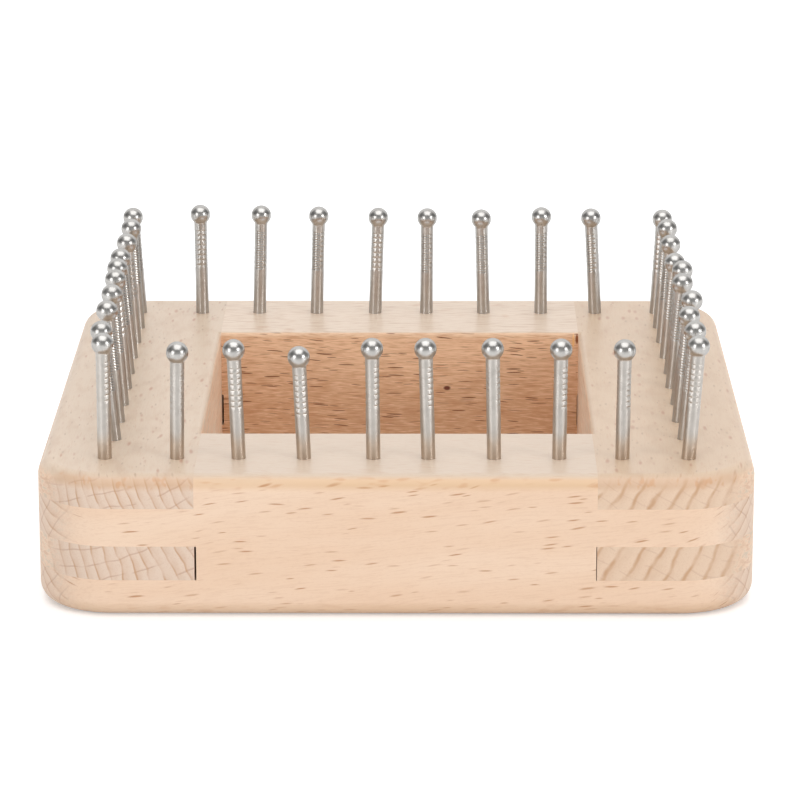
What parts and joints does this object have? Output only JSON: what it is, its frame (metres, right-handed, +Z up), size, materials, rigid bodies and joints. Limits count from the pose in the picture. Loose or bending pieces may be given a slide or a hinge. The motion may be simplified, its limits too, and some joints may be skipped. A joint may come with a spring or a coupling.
{
  "type": "knitting board",
  "caption": "Square wooden knitting board with finger-jointed rails around a square window and a ring of upright ball-headed steel pins driven into its top.",
  "frame": {"origin": "centre of the square board, on the underside that it rests on", "axes": "+Z up along the pins, +X to the right along the front rail, +Y from the front rail to the back rail"},
  "size_m": [0.111, 0.111, 0.0425],
  "materials": {
    "beech": "sanded and lightly oiled, satin",
    "pin_steel": "nickel plated, polished"
  },
  "bodies": {
    "root": {"back_rail": "beech", "front_rail": "beech", "left_rail": "beech", "right_rail": "beech", "pin_back_01": "pin_steel", "pin_back_02": "pin_steel", "pin_back_03": "pin_steel", "pin_back_04": "pin_steel", "pin_back_05": "pin_steel", "pin_back_06": "pin_steel", "pin_back_07": "pin_steel", "pin_back_08": "pin_steel", "pin_back_09": "pin_steel", "pin_back_10": "pin_steel", "pin_front_01": "pin_steel", "pin_front_02": "pin_steel", "pin_front_03": "pin_steel", "pin_front_04": "pin_steel", "pin_front_05": "pin_steel", "pin_front_06": "pin_steel", "pin_front_07": "pin_steel", "pin_front_08": "pin_steel", "pin_front_09": "pin_steel", "pin_front_10": "pin_steel", "pin_left_02": "pin_steel", "pin_left_03": "pin_steel", "pin_left_04": "pin_steel", "pin_left_05": "pin_steel", "pin_left_06": "pin_steel", "pin_left_07": "pin_steel", "pin_left_08": "pin_steel", "pin_left_09": "pin_steel", "pin_right_02": "pin_steel", "pin_right_03": "pin_steel", "pin_right_04": "pin_steel", "pin_right_05": "pin_steel", "pin_right_06": "pin_steel", "pin_right_07": "pin_steel", "pin_right_08": "pin_steel", "pin_right_09": "pin_steel"}
  },
  "joints": []
}
